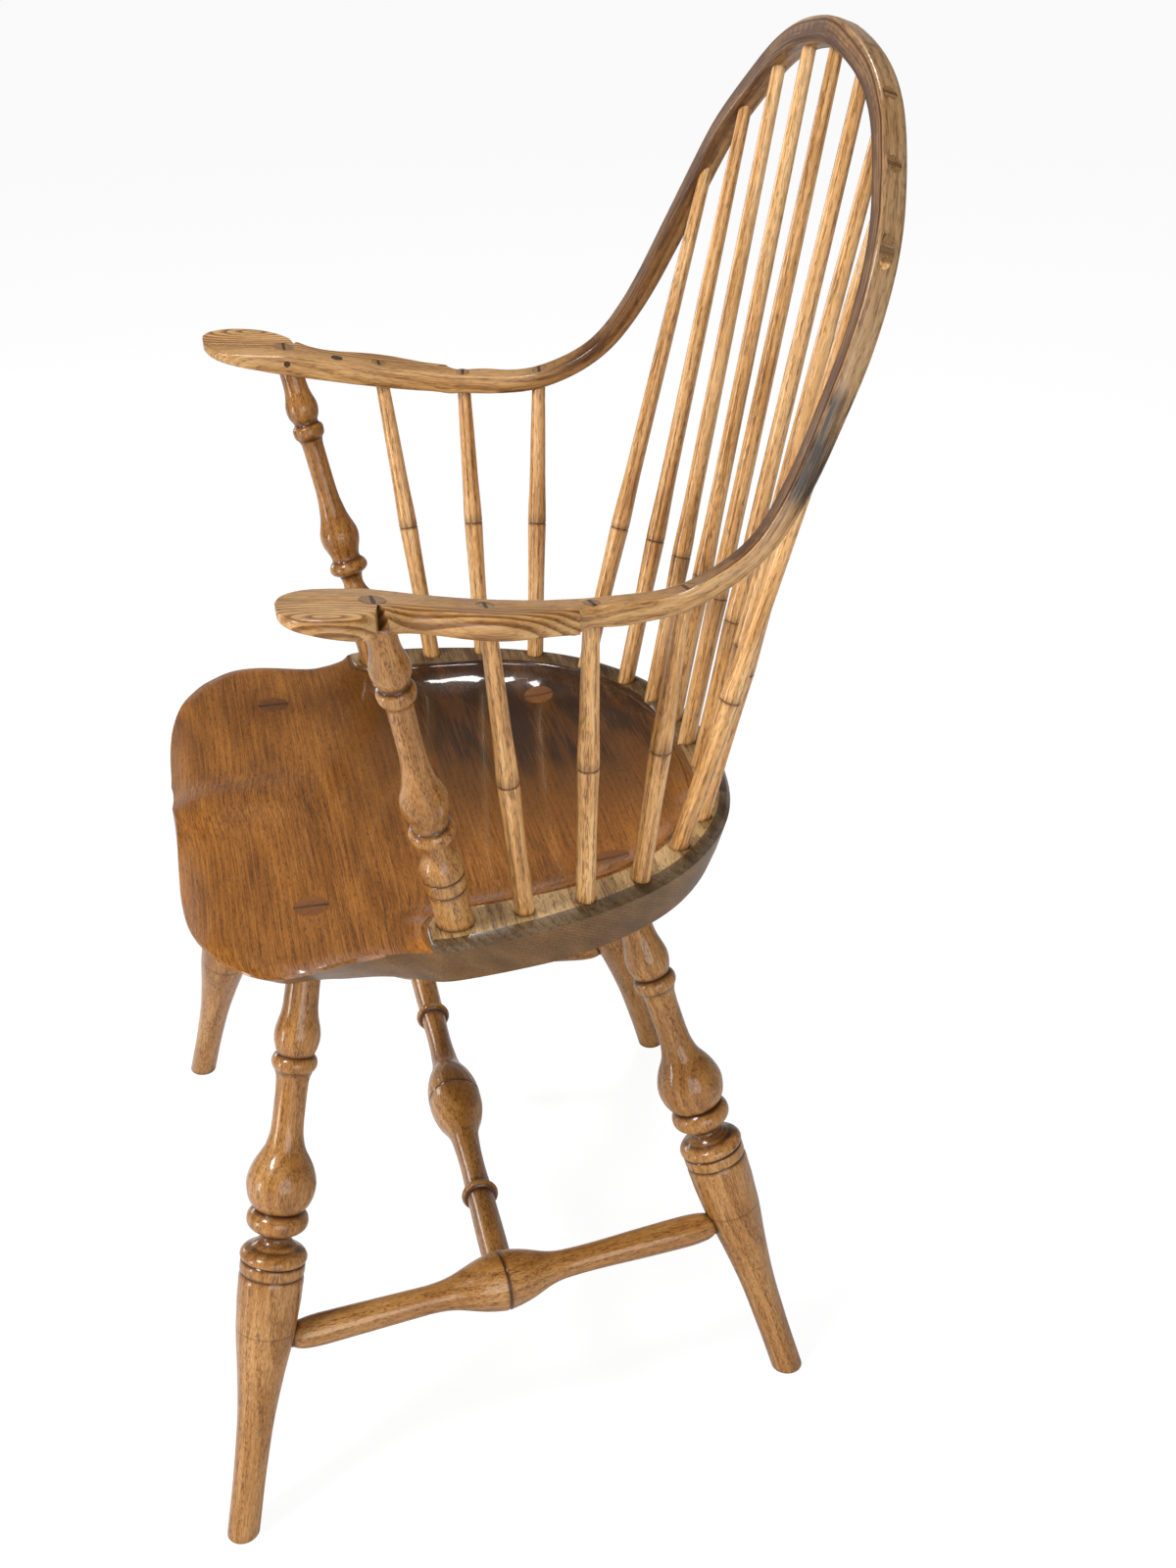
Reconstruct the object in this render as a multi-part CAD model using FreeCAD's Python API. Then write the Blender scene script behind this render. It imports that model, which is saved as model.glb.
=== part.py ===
import FreeCAD, Part
import math
import os

# Windsor armchair with one bent rail for arms and back.
# Millimetres, +Z up, floor at Z = 0, the chair faces -Y, the sitter's left is +X.
# Y is set out from midway between the feet and moved at the end to the middle of the plan.

V = FreeCAD.Vector

# Overall sizes
deck_height = 445.0
seat_thickness = 42.0
bow_rise = 514.7
arm_half_spread = 247.8
seat_half_width = 237.0

# Seat
seat_front_y = -201.0
seat_back_y = 212.0
edge_drop = 6.0
edge_inset = 8.0
dish_depth = 16.0
thigh_depth = 5.0
pommel_rise = 4.7
bevel_width = [(-200.0, 36.0), (-165.0, 45.0), (-130.0, 47.0), (-100.0, 36.0), (-68.0, 22.0),
               (20.0, 16.0), (60.0, 12.5)]
gutter_radius = 3.6
gutter_depth = 3.0

# Legs
foot_half_front = 285.0
foot_half_back = 220.4
foot_reach_front = 215.0
foot_reach_back = 214.0
leg_top_half_front = 158.0
leg_top_half_back = 134.7
leg_top_y_front = -114.0
leg_top_y_back = 101.0
leg_tenon_diameter = 23.6
foot_edge_radius = 1.6

# Stretchers
front_joint_height = 138.0
back_joint_height = 134.0
stretcher_tenon_diameter = 15.0
stretcher_tenon_inset = 4.0
medial_end_diameter = 21.6
medial_entry = 13.0

# Posts and spindles
post_base_x = 210.0
post_base_y = -23.0
post_top_y_left = -65.0
post_top_y_right = -71.5
post_tenon_diameter = 15.2
post_socket_depth = 32.0
short_base = [(209.0, 24.0), (204.0, 66.8), (187.3, 109.2)]
short_top_y = [2.1, 68.3, 129.3]
short_top_diameter = 10.8
long_base = [(152.5, 145.5), (116.5, 171.0), (79.0, 184.5), (40.0, 191.3), (0.0, 191.5)]
long_top_x = [188.5, 151.5, 108.5, 56.0, 0.0]
long_top_diameter = 9.7
spindle_socket_depth = 25.0

# Bent rail and hands
hand_reach_left = 60.0
hand_reach_right = 73.0
cant = 0.09
hoop_lean = 20.4
block_end_y = 60.0
rail_edge_radius = 3.0

# Small pieces
wedge_thickness = 2.2
wedge_depth = 15.0
peg_diameter = 5.0
plug_diameter = 9.5
plug_y = -31.0

fit_gap = 0.1

underside = deck_height - seat_thickness


def blend(value, low, high):
    share = min(max((value - low) / (high - low), 0.0), 1.0)
    return share * share * (3.0 - 2.0 * share)


def steps(value, pairs):
    if value <= pairs[0][0]:
        return pairs[0][1]
    for (a, p), (b, q) in zip(pairs, pairs[1:]):
        if value <= b:
            return p + (q - p) * (value - a) / (b - a)
    return pairs[-1][1]


def turned(runs, start, direction, stretch=1.0):
    # Solid of revolution. Each run holds (distance, radius) pairs: two make a straight,
    # three an arc, more a smooth curve.
    edges = []
    first = runs[0][0]
    last = runs[-1][-1]
    for run in runs:
        points = [V(radius, 0, distance * stretch) for distance, radius in run]
        if len(points) == 2:
            edges.append(Part.LineSegment(*points).toShape())
        elif len(points) == 3:
            edges.append(Part.Arc(*points).toShape())
        else:
            curve = Part.BSplineCurve()
            curve.interpolate(points)
            edges.append(curve.toShape())
    low = V(0, 0, first[0] * stretch)
    high = V(0, 0, last[0] * stretch)
    edges.append(Part.LineSegment(V(last[1], 0, high.z), high).toShape())
    edges.append(Part.LineSegment(high, low).toShape())
    edges.append(Part.LineSegment(low, V(first[1], 0, low.z)).toShape())
    face = Part.Face(Part.Wire(Part.__sortEdges__(edges)))
    solid = face.revolve(V(0, 0, 0), V(0, 0, 1), 360)
    turn = FreeCAD.Rotation(V(0, 0, 1), direction)
    solid.Placement = FreeCAD.Placement(start, turn)
    return solid


def grown(runs, gap):
    # The same turning with a clearance all round, for cutting its seat.
    return [[(distance, radius + gap) for distance, radius in run] for run in runs]


def rod(start, direction, low, high, diameter):
    # Round bar between two distances along an axis.
    unit = V(direction).normalize()
    return Part.makeCylinder(diameter / 2.0, high - low, start + unit * low, unit)


def half_space(point, normal, reach=400.0):
    # Thick block on the side of the plane that the normal points to.
    unit = V(normal).normalize()
    block = Part.makeBox(2 * reach, 2 * reach, reach, V(-reach, -reach, 0))
    block.Placement = FreeCAD.Placement(point, FreeCAD.Rotation(V(0, 0, 1), unit))
    return block


def mirrored(shape):
    return shape.mirror(V(0, 0, 0), V(1, 0, 0))


def closed_curve(points):
    curve = Part.BSplineCurve()
    curve.interpolate(points, PeriodicFlag=True)
    return curve


def both_sides(half):
    # Full outline from the half given from the front centre to the back centre.
    other = [(-x, y) for x, y in half[-2:0:-1]]
    return half + other


# Seat: outline of the widest edge, right round.
def seat_xy(half):
    wide = seat_half_width / 237.0
    return [(x * wide, y) for x, y in half]


outline_half = seat_xy([(0, seat_front_y), (70, -201), (135, -199), (184, -188.5),
                        (218, -169), (236, -144), (235.5, -121), (229, -98), (225.5, -78),
                        (229, -58), (236, -40), (236, -15), (230, 23), (220, 62),
                        (204, 103), (181, 140), (151, 169), (109, 194), (60, 207.5),
                        (0, seat_back_y)])
outline = both_sides(outline_half)


def seat_ring(share, height):
    # Outline moved inwards by a share of the bevel, each point at its own height.
    points = []
    count = len(outline)
    for i in range(count):
        before = outline[i - 1]
        after = outline[(i + 1) % count]
        along = V(after[0] - before[0], after[1] - before[1], 0).normalize()
        x, y = outline[i]
        inset = share * steps(y, bevel_width) if height <= 1.0 else share
        z = underside + (edge_height(x, y) - underside) * min(height, 1.0)
        if height > 1.0:
            z = z + (deck_height - z) * (height - 1.0)
        points.append(V(x - along.y * inset, y + along.x * inset, z))
    return closed_curve(points).toShape()


# Edge of the hollow: the gutter's line, open to the front.
gutter_half = seat_xy([(260, -40), (238, -43.5), (220, -44.5), (203, -41.5), (194, -31),
                       (192, -12), (190, 15), (186, 48), (176, 88), (160, 118),
                       (136, 144), (106, 164), (72, 176), (36, 180.5), (0, 181.5)])


def edge_distance(x, y, path):
    # Shortest distance to a chain of points and the side it lies on.
    best = 1e9
    for (ax, ay), (bx, by) in zip(path, path[1:]):
        dx = bx - ax
        dy = by - ay
        t = ((x - ax) * dx + (y - ay) * dy) / (dx * dx + dy * dy)
        t = min(max(t, 0.0), 1.0)
        best = min(best, math.hypot(x - ax - t * dx, y - ay - t * dy))
    return best


gutter_path = gutter_half + [(-x, y) for x, y in gutter_half[-2::-1]]
front_path = outline_half[:10]
front_path = [(-x, y) for x, y in front_path[:0:-1]] + front_path


def inside(x, y, path):
    hit = False
    for (ax, ay), (bx, by) in zip(path, path[1:] + path[:1]):
        if (ay > y) != (by > y) and x < ax + (bx - ax) * (y - ay) / (by - ay):
            hit = not hit
    return hit


def hollow(x, y):
    # Height of the hollow's surface above the deck, negative below it.
    x = abs(x)
    from_gutter = edge_distance(x, y, gutter_path)
    if y > -42 and not inside(x, y, gutter_path):
        from_gutter = -from_gutter
    if y <= -42 and x > 192:
        from_gutter = max(from_gutter, 1.0)
    wall = 1.0 - math.exp(-max(from_gutter, -12.0) / 18.0)
    forward = blend(-y, 5.0, 115.0)
    depth = dish_depth * wall * (1.0 - forward)
    shelf = 1.0 - math.exp(-max(from_gutter, -12.0) / 12.0)
    depth = depth + thigh_depth * shelf * forward
    ridge = math.exp(-(x / 34.0) ** 2) * blend(-y, 60.0, 150.0)
    depth = depth - ridge * pommel_rise
    from_edge = edge_distance(x, y, front_path)
    if not inside(x, y, outline):
        from_edge = -from_edge
    if y > -45:
        from_edge = 99.0
    front = blend(-y, 120.0, 180.0) * (1.0 - 0.8 * blend(x, 120.0, 205.0))
    roll_width = 12.0 + 28.0 * front
    roll_height = 1.5 + 9.6 * front * (1.0 - 0.35 * math.exp(-(x / 34.0) ** 2))
    over = max(0.0, 1.0 - from_edge / roll_width)
    return -depth - roll_height * over ** 2.0


def edge_height(x, y):
    # Height of the seat's widest edge.
    dip = hollow(x, y) - 2.0 if y < -62 else 0.0
    return deck_height + min(-edge_drop, dip)


def hollow_tool():
    # Everything above the hollow's surface, within the gutter's line.
    step = 13.0
    columns = int(seat_half_width * 2.2 / step) + 1
    rows = int((seat_back_y - seat_front_y) * 1.12 / step) + 1
    grid = []
    for i in range(columns + 1):
        x = (2.0 * i / columns - 1.0) * seat_half_width * 1.1
        line = []
        for j in range(rows + 1):
            y = seat_front_y - 25.0 + (seat_back_y - seat_front_y + 40.0) * j / rows
            line.append(V(x, y, deck_height + hollow(x, y)))
        grid.append(line)
    surface = Part.BSplineSurface()
    surface.interpolate(grid)
    above = surface.toShape().extrude(V(0, 0, 90))
    half = [V(x, y, underside - 40) for x, y in gutter_half]
    back = [V(-p.x, p.y, p.z) for p in half[-2::-1]]
    rear = Part.BSplineCurve()
    rear.interpolate(half + back)
    far = seat_front_y - 60.0
    a = half[0]
    corners = [a, V(a.x, far, a.z), V(-a.x, far, a.z), V(-a.x, a.y, a.z)]
    sides = [Part.LineSegment(p, q).toShape() for p, q in zip(corners[1:], corners[:-1])]
    region = Part.Face(Part.Wire(Part.__sortEdges__([rear.toShape()] + sides)))
    prism = region.extrude(V(0, 0, seat_thickness + 140))
    return above.common(prism)


def gutter_tool():
    half = [V(x, y, deck_height + gutter_radius - gutter_depth) for x, y in gutter_half]
    back = [V(-p.x, p.y, p.z) for p in half[-2::-1]]
    line = Part.BSplineCurve()
    line.interpolate(half + back)
    spine = Part.Wire(line.toShape())
    circle = Part.Circle(half[0], line.tangent(line.FirstParameter)[0], gutter_radius)
    ring = Part.Wire(circle.toShape())
    return spine.makePipeShell([ring], True, False)


scoop = hollow_tool()
blank_rings = [(1.0, 0.0), (0.52, 0.42), (0.12, 0.86), (0.0, 1.0),
               (edge_inset * 0.3, 1.6), (edge_inset, 2.0)]
seat = Part.makeLoft([Part.Wire(seat_ring(i, z)) for i, z in blank_rings], True, True)
seat = seat.cut(scoop)
seat = seat.cut(gutter_tool())


# Legs: one turning for all four, measured down the axis from the seat's underside.
leg_stretch = underside / 403.0
leg_runs = [
    [(-60, 11.8), (19, 11.8)],
    [(19, 11.8), (29, 12.1), (35, 12.6), (40, 13.6), (45, 14.9), (51, 15.9), (56, 15.7),
     (61, 14.5), (65.5, 12.9)],
    [(65.5, 12.9), (71.3, 15.9), (77, 13.6)],
    [(77, 13.6), (78.5, 13.0), (82, 11.9), (87, 11.3), (93, 11.05)],
    [(93, 11.05), (114, 11.05)],
    [(114, 11.05), (119, 11.25), (124, 11.7), (130, 12.9), (135, 14.5), (140, 17.2),
     (145, 20.0), (151, 22.5), (156, 23.9), (161, 24.4), (166, 23.8), (172, 22.1),
     (176.5, 19.5), (179, 17.2)],
    [(179, 17.2), (180.5, 18.9), (184, 21.2), (187.5, 21.7), (191, 20.9), (194, 18.2),
     (195.5, 15.2)],
    [(195.5, 15.2), (197.5, 11.8), (200, 11.0), (203, 12.4), (206, 15.5), (208.5, 19.2)],
    [(208.5, 19.2), (210.5, 22.2), (214, 23.7), (216.3, 23.1), (217.4, 21.9)],
    [(217.4, 21.9), (219, 22.8), (222, 22.9), (225.4, 22.8), (227, 21.9)],
    [(227, 21.9), (229, 22.7), (235, 22.85), (245, 22.7), (256, 22.0), (272, 20.9),
     (288, 18.95), (304, 16.8), (320, 15.0), (340, 13.25), (361, 12.3), (383, 11.7),
     (410, 11.5)],
    [(410, 11.5), (460, 11.5)],
]


def leg_axis(front, side):
    if front:
        foot = V(foot_half_front * side, -foot_reach_front, 0)
        top = V(leg_top_half_front * side, leg_top_y_front, 440)
    else:
        foot = V(foot_half_back * side, foot_reach_back, 0)
        top = V(leg_top_half_back * side, leg_top_y_back, 432)
    top.z = top.z * deck_height / 445.0
    down = (foot - top).normalize()
    start = top + down * ((top.z - underside) / -down.z)
    return start, down


def axis_at_height(start, direction, z):
    return start + direction * ((z - start.z) / direction.z)


def kerf_wedge(center, along, axis, diameter, depth, gap):
    # Thin taper driven into a tenon along its axis, its line running along one direction.
    up = V(axis).normalize()
    side = up.cross(along).normalize()
    line = side.cross(up).normalize()
    low = center - up * depth
    high = center + up * 12.0
    half = diameter / 2.0 + 3.0
    top_half = wedge_thickness / 2.0 + gap
    rise = 12.0 / depth
    high_half = top_half + (top_half - 0.3) * rise
    corners = [low - side * (0.3 + gap), low + side * (0.3 + gap),
               high + side * high_half, high - side * high_half]
    profile = Part.Face(Part.makePolygon([c - line * half for c in corners + corners[:1]]))
    return profile.extrude(line * (2 * half))


leg_wedges = []


def make_leg(front, side):
    start, down = leg_axis(front, side)
    solid = turned(leg_runs, start, down, leg_stretch)
    below = half_space(V(0, 0, 0), V(0, 0, -1), 700)
    solid = solid.cut(below)
    rim = [e for e in solid.Edges if max(abs(v.Z) for v in e.Vertexes) < 0.01]
    solid = solid.makeFillet(foot_edge_radius, rim)
    solid = solid.cut(scoop)
    center = axis_at_height(start, down, deck_height - (thigh_depth if front else dish_depth * 0.8))
    up = down * -1.0
    slot = kerf_wedge(center, V(0, 1, 0), up, leg_tenon_diameter, wedge_depth * 1.6, 0)
    bar = rod(start, up, 0.5, 70, leg_tenon_diameter - 0.3)
    wedge = slot.common(bar).cut(scoop)
    room = kerf_wedge(center, V(0, 1, 0), up, leg_tenon_diameter, wedge_depth * 1.65,
                      fit_gap / 2)
    solid = solid.cut(room)
    leg_wedges.append(wedge)
    hole = rod(start, down, -70, 20, leg_tenon_diameter + 2 * fit_gap)
    return solid, hole


# Stretchers, measured along their own axes.
side_runs_front = [
    [(4, 7.5), (20, 7.5)],
    [(20, 7.5), (22.5, 9.0), (26, 10.2), (31, 11.0), (37, 11.45), (44, 11.6)],
    [(44, 11.6), (68, 11.2), (90, 10.8), (108, 10.5), (121, 10.3)],
    [(121, 10.3), (127, 10.6), (132, 11.05), (138, 12.0), (143, 13.2), (148, 14.8),
     (154, 16.8), (160, 18.7), (166, 20.2), (172, 21.4), (176.8, 22.0)],
    [(176.8, 22.0), (178, 21.1), (179.2, 22.0)],
    [(179.2, 22.0), (184, 21.3), (190, 20.2), (196, 18.7), (202, 16.8), (207, 14.9),
     (212, 13.1), (217, 11.8), (222, 10.9), (228, 10.4), (240, 10.1)],
    [(240, 10.1), (260, 10.3), (276, 10.8), (292, 11.25), (308, 11.55), (322, 11.65)],
    [(322, 11.65), (329, 11.5), (335, 11.0), (340, 10.2), (343.5, 9.0), (346, 7.5)],
    [(346, 7.5), (362, 7.5)],
]
side_span = 366.0

medial_half = [
    [(0, 20.5), (1.1, 21.4)],
    [(1.1, 21.4), (6, 21.3), (12, 20.9), (18, 20.0), (24, 18.7), (30, 16.9),
     (35, 15.0), (41, 13.0), (47, 11.7), (53, 11.0), (60, 10.55), (70, 10.0)],
    [(70, 10.0), (82, 9.7), (95, 9.7), (108, 10.0), (118, 10.6)],
    [(118, 10.6), (119.2, 13.0), (122, 14.3), (124.8, 13.0), (126, 10.6)],
    [(126, 10.6), (135, 10.4), (145, 10.5), (160, 10.7), (175, 10.8)],
]


# Arm posts, measured up the axis from the deck.
post_runs = [
    [(-32, 12.85), (0, 12.85)],
    [(0, 12.85), (6, 12.55), (12, 12.5), (18, 12.65), (24, 12.9), (28, 13.25), (31.4, 13.7)],
    [(31.4, 13.7), (32.2, 13.2), (33, 13.9)],
    [(33, 13.9), (35, 14.3), (38, 14.5), (41, 14.55), (43.2, 14.4)],
    [(43.2, 14.4), (44, 13.9), (44.8, 14.5)],
    [(44.8, 14.5), (46.5, 14.9), (49.5, 14.95), (53, 14.0), (57, 11.8), (61, 9.6),
     (65, 8.4), (69, 8.5), (72, 9.2), (74, 10.2)],
    [(74, 10.2), (75, 13.0), (77.5, 15.4), (80.5, 15.6), (83.5, 14.2), (85.5, 12.0)],
    [(85.5, 12.0), (87.5, 11.5), (91, 12.1), (94, 13.2), (98, 14.8), (102, 15.7),
     (105.5, 15.9), (110, 15.2), (114, 13.8), (118, 12.4), (122, 11.2), (127, 10.3),
     (133, 9.3), (140, 8.7), (150, 8.5)],
    [(150, 8.5), (176, 8.5)],
    [(176, 8.5), (180, 8.8), (183, 9.5), (184.5, 10.4)],
    [(184.5, 10.4), (186, 11.8), (189, 12.5), (192.5, 12.4), (195.2, 10.2)],
    [(195.2, 10.2), (197.5, 9.8), (200, 11.1), (204, 12.55), (208, 13.0), (212, 12.5),
     (216, 11.3), (221, 10.1), (229, 9.5), (240, 9.3)],
    [(240, 9.3), (262, 9.3)],
]
post_length = 241.0

# Plain spindles with one scribed ring, measured up the axis from the deck.
spindle_foot = [
    [(-25, 6.8), (30, 6.75)],
    [(30, 6.75), (55, 6.7), (76, 6.85), (96, 7.2), (111.6, 7.5)],
    [(111.6, 7.5), (112.4, 7.0), (113.2, 7.5)],
    [(113.2, 7.5), (124, 7.3), (136, 6.9), (150, 6.5), (165, 6.3)],
]


def spindle_runs(length, top_radius, ring_height):
    # Foot turned to a fixed pattern, upper part drawn out to the length.
    k = ring_height / 112.4
    runs = [[(d if d < 0 else d * k, r) for d, r in run] for run in spindle_foot]
    low = 165 * k
    fall = 6.3 - top_radius
    shares = [(0.0, 0.0), (0.25, 0.18), (0.5, 0.40), (0.75, 0.68), (1.0, 1.0)]
    runs.append([(low + (length - low) * s, 6.3 - fall * f) for s, f in shares])
    runs.append([(length, top_radius), (length + 60, top_radius)])
    return runs


# Bent rail: middle of its top face in the arms, which turns into the front face of the hoop.
# Shares of the arm's half spread, Y, shares of the rise above the deck.
rail_half = [
    (0.970, block_end_y, 0.4525), (0.956, 82.0, 0.4490), (0.941, 106.0, 0.4460),
    (0.930, 128.0, 0.4490), (0.9175, 146.0, 0.4605), (0.902, 171.0, 0.4880),
    (0.879, 193.0, 0.5390), (0.856, 209.0, 0.5940), (0.837, 221.7, 0.6455),
    (0.815, 235.0, 0.7010), (0.776, 248.5, 0.7625), (0.707, 261.2, 0.8270),
    (0.627, 269.3, 0.8690), (0.557, 275.0, 0.9000), (0.464, 281.0, 0.9360),
    (0.306, 286.3, 0.9735), (0.084, 287.9, 0.9970),
]


def rail_point(share_x, y, share_z):
    return V(share_x * arm_half_spread, y, deck_height + share_z * bow_rise)


left_line = [rail_point(*p) for p in rail_half]
apex = rail_point(0, 288.0, 1.0)
right_line = [V(-p.x, p.y, p.z) for p in left_line[::-1]]
rail_line = Part.BSplineCurve()
rail_line.interpolate(left_line + [apex] + right_line)

# Height of the arm's top face and its inner and outer edges, towards the hand.
arm_top = [(-135, 0.5135), (-120, 0.5120), (-100, 0.5085), (-66, 0.5010), (-35, 0.4865),
           (0, 0.4712), (35, 0.4600), (block_end_y, 0.4525)]
arm_middle = [(-135, 1.021), (-66, 1.014), (0, 1.0), (35, 0.987), (block_end_y, 0.970)]

# Half width and thickness along the rail, by the share of its half length.
rail_half_width = [(0.0, 11.2), (0.10, 10.0), (0.20, 9.2), (0.30, 8.4), (0.45, 8.0),
                   (0.75, 8.4), (1.0, 9.0)]
rail_thickness = [(0.0, 15.2), (0.08, 13.8), (0.13, 12.8), (0.19, 12.2), (0.24, 12.7),
                  (0.29, 13.8), (0.34, 15.0), (0.45, 16.8), (1.0, 18.0)]


def rounded_section(origin, across, normal, inner, outer, depth, radii):
    # Rounded rectangle hanging below the face: radii for the inner top, outer top,
    # outer bottom and inner bottom corners.
    def at(s, n):
        return origin + across * s - normal * n

    corner = [(-inner, 0, 1, 1), (outer, 0, -1, 1), (outer, depth, -1, -1),
              (-inner, depth, 1, -1)]
    arcs = []
    for (s, n, ds, dn), r in zip(corner, radii):
        k = r * (1.0 - math.sqrt(0.5))
        a = at(s, n + dn * r)
        b = at(s + ds * k, n + dn * k)
        c = at(s + ds * r, n)
        arcs.append((a, b, c) if ds * dn > 0 else (c, b, a))
    edges = []
    for i in range(4):
        a, b, c = arcs[i]
        edges.append(Part.Arc(a, b, c).toShape())
        edges.append(Part.LineSegment(c, arcs[(i + 1) % 4][0]).toShape())
    return Part.Wire(edges)


def rail_section(share):
    # Section across the rail at a share of its whole length.
    side = min(share, 1.0 - share) * 2.0
    place = rail_line.parameterAtDistance(share * rail_line.length(), rail_line.FirstParameter)
    point = rail_line.value(place)
    along = V(*rail_line.tangent(place)[0])
    out = 1.0 if share < 0.5 else -1.0
    lean = math.radians(hoop_lean)
    flat = V(-cant * out, 0, 1)
    upright = V(0, -math.cos(lean), math.sin(lean))
    mix = blend(point.y, 95.0, 170.0)
    hint = flat * (1.0 - mix) + upright * mix
    if share in (0.0, 1.0):
        along = V(0, out, 0)
    normal = (hint - along * hint.dot(along)).normalize()
    across = along.cross(normal)
    half = steps(side, rail_half_width)
    depth = steps(side, rail_thickness)
    return point, across, normal, half, depth


def rail_ring(share):
    point, across, normal, half, depth = rail_section(share)
    r = rail_edge_radius
    return rounded_section(point, across, normal, half, half, depth, (r, r, r, r))


# Hand and widened arm: Y, inner edge, outer edge, thickness.
hand_sections = [
    (-127.5, 264.5, 281.0, 4.6), (-125.5, 256.5, 288.5, 5.8), (-121.0, 248.0, 294.5, 7.2),
    (-113.0, 241.5, 299.0, 8.8), (-103.0, 238.0, 301.5, 10.6), (-91.0, 236.8, 301.5, 12.6),
    (-80.0, 236.7, 298.5, 14.6), (-70.0, 236.8, 291.0, 16.2), (-61.0, 237.0, 281.0, 17.0),
    (-50.0, 237.0, 273.0, 17.0), (-35.0, 236.9, 270.5, 16.8), (-12.0, 236.2, 274.0, 16.5),
    (12.0, 235.0, 273.5, 16.2), (35.0, 233.3, 265.5, 15.9), (48.0, 231.6, 259.0, 15.7),
    (58.0, 229.5, 254.8, 15.6),
]
spread_scale = arm_half_spread / 247.8

# Glued joint between the rail and the hand's outer block: an upright plane.
joint_rear_x = rail_half[0][0] * arm_half_spread + rail_half_width[0][1]
joint_front_x = 266.0 * spread_scale


def joint_x(y):
    share = (block_end_y - y) / (block_end_y + 127.5)
    return joint_rear_x + (joint_front_x - joint_rear_x) * share


def hand_y(y, side):
    # The two hands reach a little differently in front of the posts.
    reach = hand_reach_left if side > 0 else hand_reach_right
    return y if y > -61.0 else -61.0 + (y + 61.0) * reach / 66.5


def hand_ring(section, outer_block, side):
    # Section of the hand in an upright plane across the chair: rail's end or outer block.
    y, inner_x, outer_x, depth = section
    joint_y = y
    y = hand_y(y, side)
    middle = steps(y, arm_middle) * arm_half_spread
    top = deck_height + steps(y, arm_top) * bow_rise
    normal = V(-cant, 0, 1).normalize()
    across = V(0, 1, 0).cross(normal)
    r = min(rail_edge_radius, depth * 0.45)
    sharp = 0.4
    soft = min(depth * 0.42, 6.5 * blend(y, block_end_y, 30.0) + 1.0)
    joint = joint_x(joint_y) - middle
    if outer_block:
        low = -joint - fit_gap
        high = outer_x * spread_scale - middle
        radii = (sharp, min(soft, (low + high) * 0.6), min(soft, (low + high) * 0.6), sharp)
    else:
        low = middle - inner_x * spread_scale
        high = joint
        r = min(r, (low + high) * 0.4)
        radii = (r, min(sharp, r), min(sharp, r), r)
    origin = V(middle * side, y, top)
    normal.x = normal.x * side
    across.x = across.x * side
    return rounded_section(origin, across, normal, low, high, depth, radii)


stations = [0.0, 0.02, 0.04, 0.06, 0.08, 0.1, 0.12, 0.14, 0.16, 0.18, 0.2, 0.225, 0.25,
            0.275, 0.3, 0.33, 0.36, 0.39, 0.42, 0.44, 0.46, 0.48, 0.5]
stations = stations + [1.0 - s for s in stations[-2::-1]]
rings = [hand_ring(s, False, 1) for s in hand_sections]
rings += [rail_ring(s) for s in stations]
rings += [hand_ring(s, False, -1) for s in hand_sections[::-1]]
arm_bow = Part.makeLoft(rings, True, False)
hand_blocks = {}
for side in (1, -1):
    block_rings = [hand_ring(s, True, side) for s in hand_sections]
    hand_blocks[side] = Part.makeLoft(block_rings, True, False)


def face_at(share):
    # Point, outward direction and normal on the rail's face, at a share of its length.
    point, across, normal, half, depth = rail_section(share)
    middle = point - normal * (depth / 2.0)
    return point, middle, across, normal, half, depth


def find_share(measure, target):
    # Share of the left half at which a falling measure meets the target.
    low, high = 0.0, 0.5
    for _ in range(40):
        middle = (low + high) / 2.0
        if measure(middle) > target:
            low = middle
        else:
            high = middle
    return (low + high) / 2.0


def arm_face(x, y, thickness=[(0.0, 0.0)]):
    # Point on the widened arm's top face, or its underside where the thickness is given,
    # with the outward direction and the normal.
    def level(at):
        return deck_height + steps(at, arm_top) * bow_rise - steps(at, thickness)

    middle = steps(y, arm_middle) * arm_half_spread
    along = V(0, 24, level(y + 12) - level(y - 12)).normalize()
    normal = V(-cant, 0, 1)
    normal = (normal - along * normal.dot(along)).normalize()
    point = V(x, y, level(y) + cant * (x - middle))
    return point, along.cross(normal), normal


# Gouge cut behind each hand: narrow at the joint, open to the outside.
def gouge_point(x, y):
    return V(x * spread_scale, y, deck_height + 200)


gouge_tip = gouge_point(268.5, -63.0)
gouge_front = gouge_point(303.0, -70.0)
gouge_rear = gouge_point(303.0, -56.8)
gouge_edges = [Part.Arc(gouge_tip, gouge_point(281.0, -65.4), gouge_front).toShape(),
               Part.LineSegment(gouge_front, gouge_rear).toShape(),
               Part.Arc(gouge_rear, gouge_point(281.0, -57.6), gouge_tip).toShape()]
gouge = Part.Face(Part.Wire(gouge_edges)).extrude(V(0, 0, 120))
hand_blocks[1] = hand_blocks[1].cut(gouge)
hand_blocks[-1] = hand_blocks[-1].cut(mirrored(gouge))

holes_in_seat = []
holes_in_bow = []
nodes = {}

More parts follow.
